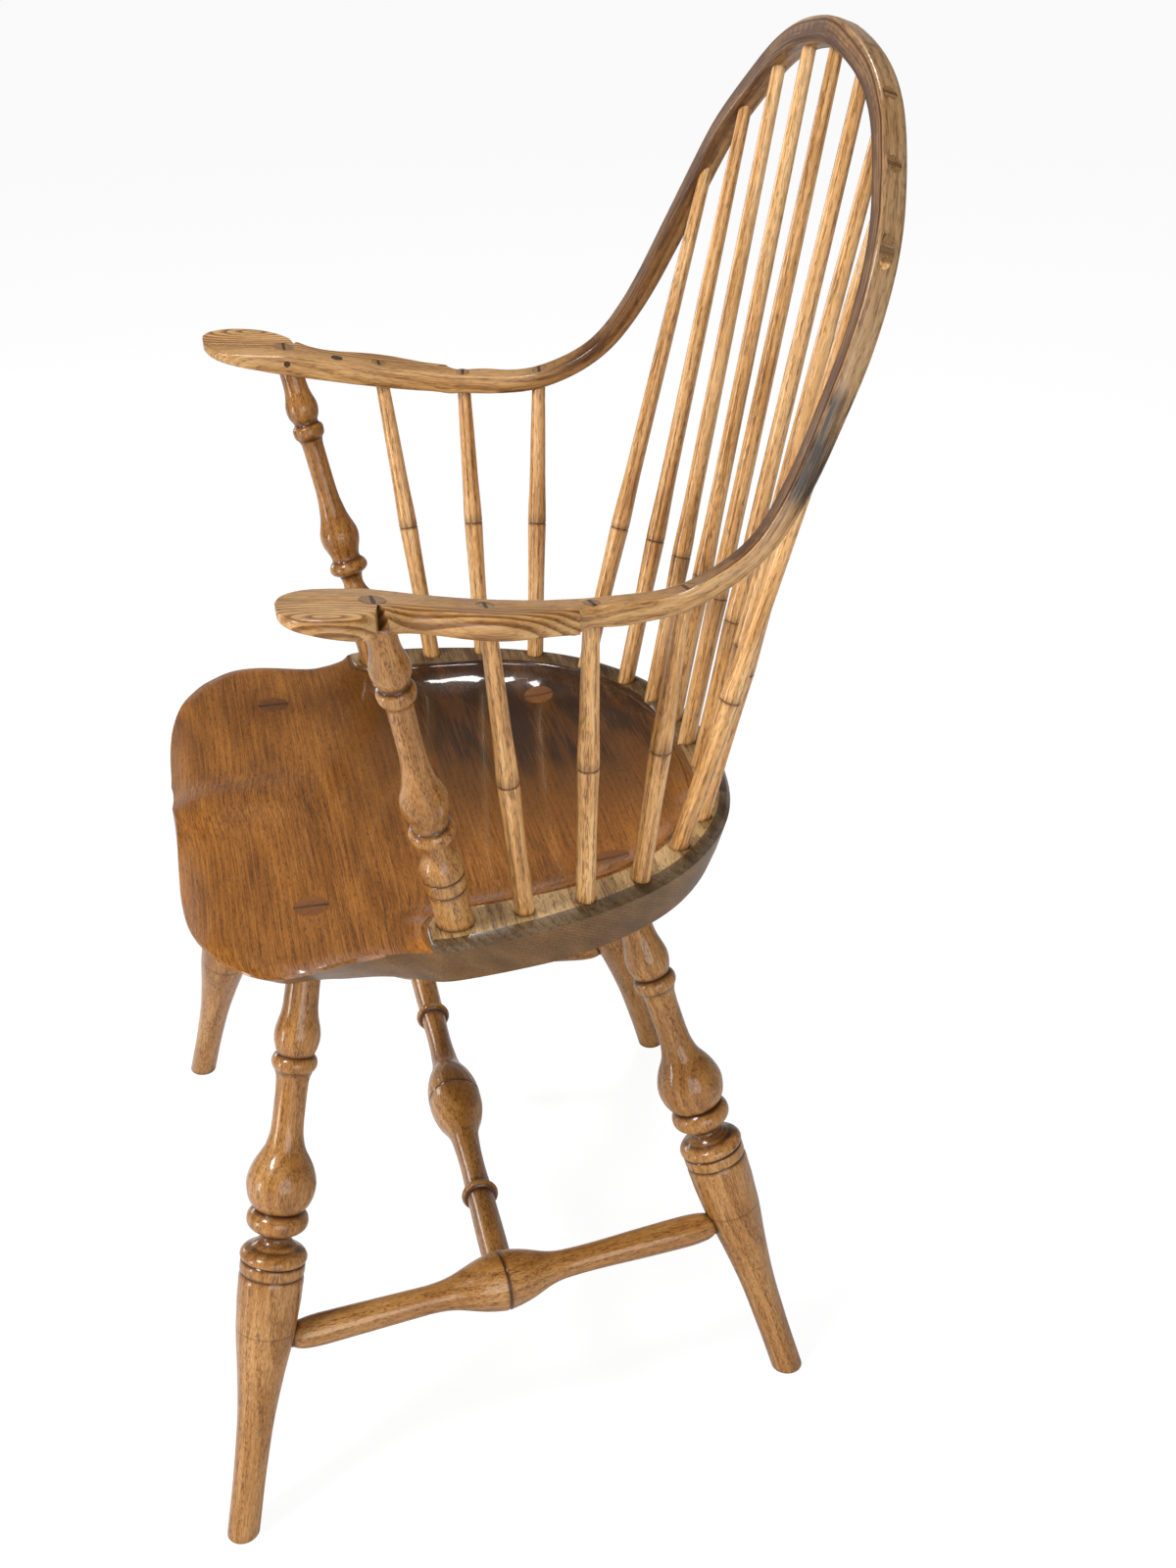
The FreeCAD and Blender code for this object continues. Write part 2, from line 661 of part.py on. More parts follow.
# Long spindles of the back, left to right, and their wedges.
back_wedges = []
bases = long_base + [(-x, y) for x, y in long_base[-2::-1]]
tops = long_top_x + [-x for x in long_top_x[-2::-1]]
for number, ((bx, by), tx) in enumerate(zip(bases, tops), 1):
    share = find_share(lambda s: face_at(s)[1].x, abs(tx))
    if tx < 0:
        share = 1.0 - share
    point, middle, across, normal, half, depth = face_at(share)
    base = V(bx, by, deck_height)
    direction = (middle - base).normalize()
    length = (middle - base).Length - half / across.dot(direction) - 4.0
    radius = long_top_diameter / 2.0
    runs = spindle_runs(length, radius, 120.5)
    spindle = turned(runs, base, direction)
    outer = middle + across * half
    beyond = half_space(outer, across)
    spindle = spindle.cut(beyond)
    end = base + direction * ((outer - base).dot(across) / direction.dot(across))
    slot = kerf_wedge(end, normal, direction, long_top_diameter, wedge_depth, 0)
    bar = rod(end, direction, -40, 5, long_top_diameter - 0.3)
    wedge = slot.common(bar).cut(beyond)
    room = kerf_wedge(end, normal, direction, long_top_diameter, wedge_depth * 1.03,
                      fit_gap / 2)
    spindle = spindle.cut(room)
    back_wedges.append(wedge)
    holes_in_seat.append(rod(base, direction, -spindle_socket_depth - 0.1, 20,
                             13.6 + 2 * fit_gap))
    holes_in_bow.append(turned(grown(runs[-2:], fit_gap), base, direction))
    nodes["back_spindle_%d" % number] = spindle

# Short spindles under the arms.
arm_wedges = []
for number, ((bx, by), ty) in enumerate(zip(short_base, short_top_y), 1):
    if ty < block_end_y:
        x = steps(ty, arm_middle) * arm_half_spread + 2.5
        top, across, normal = arm_face(x, ty)
    else:
        share = find_share(lambda s: -face_at(s)[0].y, -ty)
        point, middle, across, normal, half, depth = face_at(share)
        top = point + across * 1.0
    base = V(bx, by, deck_height)
    direction = (top - base).normalize()
    length = (top - base).Length - 24.0
    radius = short_top_diameter / 2.0
    spindle = turned(spindle_runs(length, radius, 111.4), base, direction)
    beyond = half_space(top, normal)
    spindle = spindle.cut(beyond)
    slot = kerf_wedge(top, across, direction, short_top_diameter, wedge_depth, 0)
    bar = rod(top, direction, -40, 5, short_top_diameter - 0.3)
    wedge = slot.common(bar).cut(beyond)
    room = kerf_wedge(top, across, direction, short_top_diameter, wedge_depth * 1.03,
                      fit_gap / 2)
    spindle = spindle.cut(room)
    socket = rod(base, direction, -spindle_socket_depth - 0.1, 20, 13.6 + 2 * fit_gap)
    bore = rod(top, direction, -32, 15, short_top_diameter + 2 * fit_gap)
    holes_in_seat += [socket, mirrored(socket)]
    holes_in_bow += [bore, mirrored(bore)]
    arm_wedges += [wedge, mirrored(wedge)]
    nodes["arm_spindle_left_%d" % number] = spindle
    nodes["arm_spindle_right_%d" % number] = mirrored(spindle)

# Turned posts under the hands, each with a peg through the arm's inner side.
post_wedges = []
pegs = []
for name, side, top_y in [("left", 1, post_top_y_left), ("right", -1, post_top_y_right)]:
    post_x = steps(top_y, arm_middle) * arm_half_spread + 9.0
    top, across, normal = arm_face(post_x, top_y)
    base = V(post_base_x, post_base_y, deck_height)
    direction = (top - base).normalize()
    thickness = [(hand_y(s[0], side), s[3]) for s in hand_sections]
    hand_depth = steps(top_y, thickness)
    under, _, under_normal = arm_face(post_x, top_y, thickness)
    stretch = ((top - base).Length - hand_depth) / post_length
    post = turned([[(d if d < 0 else d * stretch, r) for d, r in run] for run in post_runs],
                  base, direction)
    post = post.cut(half_space(under - under_normal * 0.5, under_normal))
    tenon = rod(top, direction, -hand_depth - 30, 12, post_tenon_diameter)
    post = post.fuse(tenon)
    beyond = half_space(top, normal)
    post = post.cut(beyond)
    slot = kerf_wedge(top, across, direction, post_tenon_diameter, wedge_depth, 0)
    bar = rod(top, direction, -40, 5, post_tenon_diameter - 0.3)
    wedge = slot.common(bar).cut(beyond)
    room = kerf_wedge(top, across, direction, post_tenon_diameter, wedge_depth * 1.03,
                      fit_gap / 2)
    post = post.cut(room)
    bore = rod(top, direction, -40, 15, post_tenon_diameter + 2 * fit_gap)
    socket = rod(base, direction, -post_socket_depth - 0.1, 25, 25.7 + 2 * fit_gap)
    peg_start = V(top.x - 40, top_y, top.z - hand_depth * 0.5 - cant * 14)
    peg_axis = V(1, 0, cant)
    peg_face = half_space(V(237.8 * spread_scale, top_y, top.z), V(-1, 0, 0))
    peg = rod(peg_start, peg_axis, 0, 38, peg_diameter).cut(peg_face)
    peg_hole = rod(peg_start, peg_axis, 0, 38.3, peg_diameter + 2 * fit_gap)
    pieces = [post.cut(peg_hole), wedge.cut(peg_hole), peg, bore, socket, peg_hole]
    if side < 0:
        pieces = [mirrored(piece) for piece in pieces]
    post, wedge, peg, bore, socket, peg_hole = pieces
    nodes["arm_post_" + name] = post
    nodes["hand_block_" + name] = hand_blocks[side].cut(bore)
    post_wedges.append(wedge)
    pegs.append(peg)
    holes_in_seat.append(socket)
    holes_in_bow += [bore, peg_hole]

# Round plug let into the right arm's top.
plug_point, plug_out, plug_up = arm_face(250.0 * spread_scale, plug_y)
plug = mirrored(rod(plug_point, plug_up, -9.0, 0, plug_diameter))
holes_in_bow.append(mirrored(rod(plug_point, plug_up, -9.2, 8,
                                 plug_diameter + 2 * fit_gap)))
nodes["arm_plug_right"] = plug

# Legs.
legs = {}
for name, front, side in [("front_left", True, 1), ("front_right", True, -1),
                          ("back_left", False, 1), ("back_right", False, -1)]:
    solid, hole = make_leg(front, side)
    legs[name] = solid
    holes_in_seat.append(hole)

# Side stretchers between the legs.
stretch_nodes = {}
middles = {}
for name, side in [("left", 1), ("right", -1)]:
    start, down = leg_axis(True, side)
    front_point = axis_at_height(start, down, front_joint_height * deck_height / 445.0)
    start, down = leg_axis(False, side)
    back_point = axis_at_height(start, down, back_joint_height * deck_height / 445.0)
    span = back_point - front_point
    k = span.Length / side_span
    axis = V(span).normalize()
    solid = turned(side_runs_front, front_point, axis, k)
    low = stretcher_tenon_inset * k
    ends = [("front_" + name, 1, front_point, side_runs_front[1:2]),
            ("back_" + name, -1, back_point, side_runs_front[-2:-1])]
    for leg, sign, point, swell in ends:
        hole = rod(point, axis * sign, low - 0.3, 60, stretcher_tenon_diameter + 2 * fit_gap)
        seat_of_swell = turned(grown(swell, fit_gap), front_point, axis, k)
        legs[leg] = legs[leg].cut(hole).cut(seat_of_swell)
    middles[name] = front_point + axis * (178.0 * k)
    stretch_nodes[name] = solid

# Stretcher across the middle.
half_length = middles["left"].x
k = half_length / 219.5
reach = half_length - 22.0 + medial_entry
runs = [[(d * k, r) for d, r in run] for run in medial_half]
runs.append([(175 * k, medial_end_diameter / 2.0), (reach, medial_end_diameter / 2.0)])
mirror_runs = [[(-d, r) for d, r in run[::-1]] for run in runs[::-1]]
center = V(0, middles["left"].y, middles["left"].z)
medial = turned(mirror_runs + runs, center, V(1, 0, 0))
for name, sign in [("left", 1), ("right", -1)]:
    hole = rod(center, V(sign, 0, 0), half_length - 60, reach + 0.3,
               medial_end_diameter + 2 * fit_gap)
    nodes["side_stretcher_" + name] = stretch_nodes[name].cut(hole)
nodes["medial_stretcher"] = medial
for name, solid in legs.items():
    nodes["leg_" + name] = solid

# Pieces that are bored last.
nodes["seat"] = seat.cut(Part.makeCompound(holes_in_seat))
nodes["arm_bow"] = arm_bow.cut(Part.makeCompound(holes_in_bow))
nodes["leg_wedges"] = Part.makeCompound(leg_wedges)
nodes["post_wedges"] = Part.makeCompound(post_wedges)
nodes["arm_spindle_wedges"] = Part.makeCompound(arm_wedges)
nodes["back_spindle_wedges"] = Part.makeCompound(back_wedges)
nodes["post_pegs"] = Part.makeCompound(pegs)

# The origin is the middle of the plan, on the floor.
extent = Part.makeCompound(list(nodes.values())).optimalBoundingBox(False)
shift = V(0, -(extent.YMin + extent.YMax) / 2.0, 0)
os.makedirs("parts", exist_ok=True)
for name, shape in nodes.items():
    placed = shape.copy()
    placed.translate(shift)
    placed.exportStep("parts/%s.step" % name)
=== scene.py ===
import bmesh
import bpy
import math
import numpy
from mathutils import Matrix, Vector


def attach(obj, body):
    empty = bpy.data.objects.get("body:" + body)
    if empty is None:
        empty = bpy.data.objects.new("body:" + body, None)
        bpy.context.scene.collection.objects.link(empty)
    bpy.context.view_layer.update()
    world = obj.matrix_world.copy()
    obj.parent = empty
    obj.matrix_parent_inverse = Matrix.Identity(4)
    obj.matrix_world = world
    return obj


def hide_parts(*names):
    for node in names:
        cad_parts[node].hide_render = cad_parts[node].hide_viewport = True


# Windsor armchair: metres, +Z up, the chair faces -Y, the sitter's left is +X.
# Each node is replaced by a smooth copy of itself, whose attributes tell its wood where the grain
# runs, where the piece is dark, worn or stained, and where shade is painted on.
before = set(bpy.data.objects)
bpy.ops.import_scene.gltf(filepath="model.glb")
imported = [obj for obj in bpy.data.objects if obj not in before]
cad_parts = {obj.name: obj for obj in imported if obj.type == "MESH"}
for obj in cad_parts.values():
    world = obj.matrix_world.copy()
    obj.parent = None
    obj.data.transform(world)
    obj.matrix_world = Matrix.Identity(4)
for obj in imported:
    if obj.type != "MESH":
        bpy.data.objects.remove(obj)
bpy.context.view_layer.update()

MM = 0.001

# Driving sizes in millimetres. Y is set out from midway between the feet, which lies this
# far from the middle of the plan.
PLAN_SHIFT = -40.38
DECK_HEIGHT = 445.0
BOW_RISE = 514.7
ARM_HALF_SPREAD = 247.8
# How far the hoop leans back, in degrees.
HOOP_LEAN = 20.4


def srgb(code):
    # Hex colour to linear red, green, blue and a full alpha.
    parts = [int(code[i:i + 2], 16) / 255.0 for i in (1, 3, 5)]
    linear = [c / 12.92 if c <= 0.04045 else ((c + 0.055) / 1.055) ** 2.4 for c in parts]
    return (*linear, 1.0)


# Materials

def add(tree, kind, inputs=None, stops=None, **settings):
    # One node with its settings and links. An input is a value, an output of another node,
    # or a node, which gives its first output.
    node = tree.nodes.new("ShaderNode" + kind)
    for key, value in settings.items():
        setattr(node, key, value)
    if stops:
        elements = node.color_ramp.elements
        while len(elements) < len(stops):
            elements.new(1.0)
        for element, (at, colour) in zip(elements, stops):
            element.position = at
            element.color = colour
    for key, value in (inputs or {}).items():
        if isinstance(value, bpy.types.Node):
            value = value.outputs[0]
        if isinstance(value, bpy.types.NodeSocket):
            tree.links.new(value, node.inputs[key])
        else:
            node.inputs[key].default_value = value
    return node


# Tone at which each of a wood's three colours is reached.
DARK_TONE, MIDDLE_TONE, LIGHT_TONE = 0.25, 0.45, 0.66
# A growth ring, from 0 to 1: early wood fades out here, and late wood comes in from here.
EARLY_END, LATE_START = 0.7, 0.86
# Levels of the noise at which a pore opens and is full.
SPECK_START, SPECK_FULL = 0.51, 0.62
PIT_START, PIT_FULL = 0.60, 0.68
# A pit is wider and longer than a speck.
PIT_WIDER, PIT_LONGER = 1.5, 2.6
# Levels between which a tint goes from its least share to all of it.
TINT_START, TINT_FULL, LEAST_TINT = 0.8, 1.15, 0.45
# Share of the pores that is left in plain wood between the rings.
PLAIN_PORES = 0.5
# Corners hold dirt and painted shade: how near their sides lie, how little and how much open sky make
# it full and none, and how dark it is.
DIRT_AND_SHADE_REACH = 5 * MM
CLOSED_SKY, OPEN_SKY, CORNER_DIRT_AND_SHADE = 0.25, 0.9, 0.85
SKY_SAMPLES = 6
# The bead's line, dark with dirt and painted shade: in mm, dark to here and gone by here, then how
# dark it is and its depth beside the grain's.
LINE_HALF, LINE_FADE, LINE_DIRT_AND_SHADE, LINE_DEPTH = 0.4, 1.0, 0.9, 3.0
# Relief of the grain and how hard it is drawn.
RELIEF, RELIEF_STRENGTH = 0.3 * MM, 0.25
# Fibres between these levels make the finish from this much smoother to this much rougher.
FIBRE_LOW, FIBRE_HIGH = 0.3, 0.7
SMOOTHER, ROUGHER = 0.04, 0.08
# Oil and varnish: their index of refraction, and the shine under any coat.
VARNISH_IOR, WOOD_GLOSS = 1.5, 0.22


def wood(name, light, middle, dark, pore, ring=3.2, wave=1.2, ring_tone=0.15, fibre=(1.3, 24.0),
         fibre_tone=0.45, fleck=(1.3, 4.5), fleck_tone=0.5, broad=0.6, roughness=0.36, coat=0.35,
         coat_roughness=0.16, tints=(), bead=0.0, oval=False):
    # Finished wood. The grain attribute is the place in the plank in metres, Z along the grain.
    # light, middle and dark are the body's colours, and pore is the pores' and that of the dirt and
    # painted shade.
    # ring: growth ring in mm. wave: how far it wanders, in rings. fibre and fleck: width and
    # length in mm, both a little wider than in the timber, so that they can be seen.
    # ring_tone, fibre_tone and fleck_tone: how much each pattern changes the tone, from 0 to
    # 1, and broad: how much wide clouds change it.
    # tints: attribute, colour and share of each place that is worn, stained or darker with painted
    # shade.
    # bead: distance in mm of a scratched line from both edges of the rail's face.
    # oval: the rings lie round the middle of a pad, whose place is the attribute pad.
    material = bpy.data.materials.new(name)
    material.use_nodes = True
    tree = material.node_tree
    tree.nodes.clear()
    grain = add(tree, "Attribute", attribute_name="grain")
    in_mm = add(tree, "VectorMath", {0: grain.outputs["Vector"], "Scale": 1 / MM}, operation="SCALE")

    # Noise drawn out along the grain: width and length in mm, detail and roughness.
    drawn_out = {
        "cloud": (24.0, 90.0, 2.0, 0.5),
        "warp": (34.0, 200.0, 1.0, 0.5),
        "thread": (*fibre, 3.0, 0.6),
        "speck": (*fleck, 1.5, 0.5),
        "pit": (fleck[0] * PIT_WIDER, fleck[1] * PIT_LONGER, 1.0, 0.5),
    }
    noise = {}
    for pattern, (width, length, detail, rough) in drawn_out.items():
        place = add(tree, "VectorMath", {0: in_mm, 1: (1 / width, 1 / width, 1 / length)},
                    operation="MULTIPLY")
        noise[pattern] = add(tree, "TexNoise", {"Vector": place, "Scale": 1.0, "Detail": detail,
                                                "Roughness": rough})

    # Growth rings: open early wood that fades, then a sharp line of late wood.
    split = add(tree, "SeparateXYZ", {0: in_mm})
    across = split.outputs["X"]
    if oval:
        pad = add(tree, "Attribute", attribute_name="pad")
        across = add(tree, "VectorMath", {0: pad.outputs["Vector"]},
                     operation="LENGTH").outputs["Value"]
    phase = add(tree, "Math", {0: across, 1: 1 / ring}, operation="MULTIPLY")
    wandering = add(tree, "Math", {0: noise["warp"], 1: wave, 2: phase}, operation="MULTIPLY_ADD")
    turn = add(tree, "Math", {0: wandering}, operation="FRACT")
    early = add(tree, "MapRange", {"Value": turn, "From Min": 0.0, "From Max": EARLY_END,
                                   "To Min": 1.0, "To Max": 0.0}, interpolation_type="SMOOTHSTEP")
    late = add(tree, "MapRange", {"Value": turn, "From Min": LATE_START, "From Max": 1.0},
               interpolation_type="SMOOTHSTEP")
    rings = add(tree, "Math", {0: early, 1: late}, operation="MAXIMUM")

    # Body colour from clouds, fibres and rings.
    level = 0.5 - (broad + fibre_tone) / 2
    tone = add(tree, "Math", {0: noise["cloud"], 1: broad, 2: level}, operation="MULTIPLY_ADD")
    tone = add(tree, "Math", {0: noise["thread"], 1: fibre_tone, 2: tone}, operation="MULTIPLY_ADD")
    tone = add(tree, "Math", {0: rings, 1: -ring_tone, 2: tone}, operation="MULTIPLY_ADD")
    body = add(tree, "ValToRGB", {0: tone}, stops=[
        (DARK_TONE, srgb(dark)), (MIDDLE_TONE, srgb(middle)), (LIGHT_TONE, srgb(light))]).outputs[0]

    # Places that handling, weather or stain have changed, and painted shade, uneven along the fibres.
    for attribute, tint, share in tints:
        mark = add(tree, "Attribute", attribute_name=attribute)
        uneven = add(tree, "Math", {0: noise["thread"], 1: noise["cloud"]}, operation="ADD")
        patchy = add(tree, "MapRange", {"Value": uneven, "From Min": TINT_START, "From Max": TINT_FULL,
                                        "To Min": share * LEAST_TINT, "To Max": share},
                     interpolation_type="SMOOTHSTEP")
        amount = add(tree, "Math", {0: mark.outputs["Fac"], 1: patchy}, operation="MULTIPLY",
                     use_clamp=True)
        body = add(tree, "Mix", {"Factor": amount, 6: body, 7: srgb(tint)},
                   data_type="RGBA").outputs[2]

    # Pores: short specks and longer pits, most of them in the early wood.
    speck = add(tree, "MapRange", {"Value": noise["speck"], "From Min": SPECK_START,
                                   "From Max": SPECK_FULL}, interpolation_type="SMOOTHSTEP")
    pit = add(tree, "MapRange", {"Value": noise["pit"], "From Min": PIT_START,
                                 "From Max": PIT_FULL}, interpolation_type="SMOOTHSTEP")
    hole = add(tree, "Math", {0: speck, 1: pit}, operation="MAXIMUM")
    by_ring = add(tree, "Math", {0: rings, 1: 1 - PLAIN_PORES, 2: PLAIN_PORES},
                  operation="MULTIPLY_ADD")
    hole = add(tree, "Math", {0: hole, 1: by_ring}, operation="MULTIPLY")
    depth = add(tree, "Math", {0: hole, 1: fleck_tone}, operation="MULTIPLY")
    porous = add(tree, "Mix", {"Factor": depth, 6: body, 7: srgb(pore)}, data_type="RGBA").outputs[2]

    # Dirt and painted shade in grooves and corners, and in the bead's line.
    groove = add(tree, "Attribute", attribute_name="crevice")
    open_sky = add(tree, "AmbientOcclusion", {"Distance": DIRT_AND_SHADE_REACH}, samples=SKY_SAMPLES)
    corner = add(tree, "MapRange", {"Value": open_sky.outputs["AO"], "From Min": CLOSED_SKY,
                                    "From Max": OPEN_SKY, "To Min": CORNER_DIRT_AND_SHADE, "To Max": 0.0},
                 interpolation_type="SMOOTHSTEP")
    dirt_and_shade = add(tree, "Math", {0: corner, 1: groove.outputs["Fac"]}, operation="ADD", use_clamp=True)
    height = add(tree, "Math", {0: hole, 1: -1.0, 2: noise["thread"]}, operation="MULTIPLY_ADD")
    if bead:
        edge = add(tree, "Attribute", attribute_name="edge")
        part = add(tree, "SeparateXYZ", {0: edge.outputs["Vector"]})
        aside = add(tree, "Math", {0: part.outputs["X"]}, operation="ABSOLUTE")
        inset = add(tree, "Math", {0: part.outputs["Y"], 1: aside}, operation="SUBTRACT")
        past = add(tree, "Math", {0: inset, 1: bead}, operation="SUBTRACT")
        off = add(tree, "Math", {0: past}, operation="ABSOLUTE")
        scratch = add(tree, "MapRange", {"Value": off, "From Min": LINE_HALF, "From Max": LINE_FADE,
                                         "To Min": LINE_DIRT_AND_SHADE, "To Max": 0.0},
                      interpolation_type="SMOOTHSTEP")
        scratch = add(tree, "Math", {0: scratch, 1: part.outputs["Z"]}, operation="MULTIPLY")
        dirt_and_shade = add(tree, "Math", {0: dirt_and_shade, 1: scratch}, operation="MAXIMUM")
        height = add(tree, "Math", {0: scratch, 1: -LINE_DEPTH, 2: height}, operation="MULTIPLY_ADD")
    final = add(tree, "Mix", {"Factor": dirt_and_shade, 6: porous, 7: srgb(pore)}, data_type="RGBA").outputs[2]

    bump = add(tree, "Bump", {"Strength": RELIEF_STRENGTH, "Distance": RELIEF, "Height": height})
    dull = add(tree, "MapRange", {"Value": noise["thread"], "From Min": FIBRE_LOW,
                                  "From Max": FIBRE_HIGH,
                                  "To Min": roughness - SMOOTHER, "To Max": roughness + ROUGHER},
               interpolation_type="SMOOTHSTEP")
    shader = add(tree, "BsdfPrincipled", {
        "Base Color": final, "Roughness": dull, "IOR": VARNISH_IOR, "Specular IOR Level": WOOD_GLOSS,
        "Normal": bump, "Coat Weight": coat, "Coat Roughness": coat_roughness,
        "Coat IOR": VARNISH_IOR})
    add(tree, "OutputMaterial", {"Surface": shader})
    return material


# White oak turned on a lathe and oiled: short flecks, a soft gleam on the beads.
# The legs' ends are stained with the seat, the posts' ends are worn with the arms.
turned_wood = wood(
    "white_oak_turned_oiled", "#CD9A5E", "#AA7439", "#835422", "#4A260C",
    ring=7.0, wave=0.8, ring_tone=0.08, fibre=(1.2, 20.0), fibre_tone=0.5,
    fleck=(1.0, 3.6), fleck_tone=0.62, roughness=0.31, coat=0.6, coat_roughness=0.1,
    tints=(("end", "#7C4A20", 1.2), ("post_top", "#967551", 1.2)))
# Oak shaved and scraped to long rods: straight threads with open dark pores.
spindle_wood = wood(
    "white_oak_shaved_satin", "#F8CB90", "#DFA765", "#A87339", "#542F10",
    ring=5.0, wave=0.6, ring_tone=0.14, fibre=(1.2, 34.0), fibre_tone=0.5,
    fleck=(1.0, 8.0), fleck_tone=0.62, roughness=0.3, coat=0.6, coat_roughness=0.1,
    tints=(("end", "#94704A", 1.2),))
# Oak bent in steam: even straight grain, greyer where hands and light have worn it, and painted shade
# on the front of the hoop.
rail_wood = wood(
    "white_oak_steam_bent_satin", "#E2B67B", "#C3935B", "#906335", "#472810",
    ring=2.6, wave=0.7, ring_tone=0.16, fibre=(1.1, 40.0), fibre_tone=0.5,
    fleck=(1.2, 7.0), bead=2.8, roughness=0.36, coat=0.4,
    tints=(("shaded", "#5C3A1F", 1.15), ("weathered", "#A3886A", 0.7), ("stain", "#3A332B", 1.5)))
# Oak sawn flat for the hands: the rings come up as nested ovals.
hand_wood = wood(
    "white_oak_flat_sawn_satin", "#E6B97F", "#CB985E", "#8A5D2E", "#472810",
    ring=3.2, wave=0.4, ring_tone=0.3, fibre=(1.0, 36.0), fibre_tone=0.35,
    fleck=(1.0, 7.0), fleck_tone=0.4, oval=True, roughness=0.36, coat=0.4)
# Plank seat, stained dark and rubbed to a polish: thin lines across the chair, and painted shade over
# the far back of the dish.
dish_wood = wood(
    "hardwood_plank_stained_polished", "#B1722C", "#8D551B", "#613810", "#2A1405",
    ring=4.5, wave=0.7, ring_tone=0.04, fibre=(1.0, 60.0), fibre_tone=0.85,
    fleck=(1.1, 5.0), broad=0.5, roughness=0.34, coat=0.6, coat_roughness=0.07,
    tints=(("shaded", "#341D07", 1.7),))
# The same plank left flat at the back: paler, dusty and unpolished, with painted shade on its far
# side.
deck_wood = wood(
    "hardwood_plank_worn_matt", "#D9B47E", "#B08C59", "#7C5C37", "#33200C",
    ring=6.5, wave=0.9, ring_tone=0.06, fibre=(1.4, 30.0), fibre_tone=0.5,
    fleck=(1.6, 5.0), fleck_tone=0.55, broad=1.1, roughness=0.5, coat=0.1, coat_roughness=0.3,
    tints=(("shaded", "#402A12", 1.2),))
# The plank's rounded shoulder, dark and polished, greyed by a painted reflection.
shoulder_wood = wood(
    "hardwood_plank_polished_painted_reflection", "#8A7254", "#634D34", "#3A2B19", "#1A1008",
    ring=6.5, wave=0.9, ring_tone=0.06, fibre=(1.2, 50.0), fibre_tone=0.5,
    fleck=(1.3, 6.0), fleck_tone=0.35, roughness=0.32, coat=0.5, coat_roughness=0.1)
# The plank's bevelled side, oiled and greyed.
side_wood = wood(
    "hardwood_plank_bevelled_oiled", "#9A7242", "#6F4E29", "#4A3217", "#241505",
    ring=4.0, wave=0.6, ring_tone=0.06, fibre=(1.0, 60.0), fibre_tone=0.55,
    fleck=(1.1, 7.0), fleck_tone=0.45, broad=0.4, roughness=0.42, coat=0.25)
# Oak end grain, weathered with the hoop around it: round dots in place of threads.
pale_wedge_wood = wood(
    "white_oak_end_grain_weathered", "#8D6D4B", "#765639", "#5A3F27", "#33200F",
    ring=1.5, wave=0.5, ring_tone=0.1, fibre=(1.0, 1.0), fibre_tone=0.4,
    fleck=(1.0, 1.0), fleck_tone=0.4)
# Walnut end grain: the dark lines of the wedges.
wedge_wood = wood(
    "walnut_end_grain_oiled", "#60452A", "#4C341E", "#352313", "#1E1208",
    ring=1.5, wave=0.5, ring_tone=0.1, fibre=(1.0, 1.0), fibre_tone=0.4,
    fleck=(1.0, 1.0), fleck_tone=0.4)


# Pieces

def positions(mesh):
    flat = numpy.empty(len(mesh.vertices) * 3)
    mesh.vertices.foreach_get("co", flat)
    return flat.reshape(-1, 3)


def write(mesh, name, values):
    # A named value or vector for every vertex.
    vector = values.ndim == 2
    layer = mesh.attributes.new(name, "FLOAT_VECTOR" if vector else "FLOAT", "POINT")
    layer.data.foreach_set("vector" if vector else "value", values.astype(numpy.float32).ravel())


def ramp(values, start, reach):
    # 0 up to the start, and 1 from a reach further on; a negative reach runs downwards.
    return numpy.clip((values - start) / reach, 0.0, 1.0)


def set_piece(name, mesh, slot, node, *materials):
    # The mesh as a piece that stands for its node.
    for material in materials:
        mesh.materials.append(material)
    piece = bpy.data.objects.new(name, mesh)
    bpy.context.collection.objects.link(piece)
    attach(piece, "root")
    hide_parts(node)


# Points this near are joined, in metres, and faces meeting at less than this angle, in
# degrees, are shaded as one surface.
WELD = 2e-6
SMOOTH_ANGLE = 38.0
SEAT_SMOOTH_ANGLE = 30.0


def smooth_copy(node, sharp=SMOOTH_ANGLE):
    # The node's shape with its triangles joined and shaded smooth across gentle edges.
    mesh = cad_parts[node].data.copy()
    mesh.materials.clear()
    work = bmesh.new()
    work.from_mesh(mesh)
    bmesh.ops.remove_doubles(work, verts=work.verts, dist=WELD)
    limit = math.radians(sharp)
    for face in work.faces:
        face.smooth = True
        face.material_index = 0
    for edge in work.edges:
        edge.smooth = not (edge.is_manifold and edge.calc_face_angle() > limit)
    work.to_mesh(mesh)
    work.free()
    return mesh


# Turned pieces are read in slices this thick, in metres. A point this far from its slice's
# mean radius is left out of the fit, and the profile skips slices with few points.
SLICE = 0.0004
OFF_ROUND = 0.0012
FEWEST_POINTS = 12
FIT_ROUNDS = 5
# Any direction that no piece runs along, and a radius that is never zero, in metres.
ASKEW = (0.36, 0.48, 0.8)
LEAST_RADIUS = 1e-6
# Slices to each side that a groove is measured against, and the depths in metres at which its dirt and
# painted shade start and how much more makes them full.
GROOVE_REACH = 4
GROOVE_START = 0.00012
GROOVE_FULL = 0.0004
GROOVE_DIRT_AND_SHADE = 0.9
# Slices to each side of a groove that its dirt and painted shade spread to, and how dark they are
# there.
RIM_REACH = 2
RIM_DIRT_AND_SHADE = 0.55
# Length of a tenon's end that shows in the seat or the arm.
TENON_END = 0.016
# Each stick comes from its own place in the timber, this far from the last in metres, and is
# turned by this angle from it.
STICK_X, STICK_Y, STICK_Z = 0.031, 0.017, 0.43
STICK_TURN = 2.399


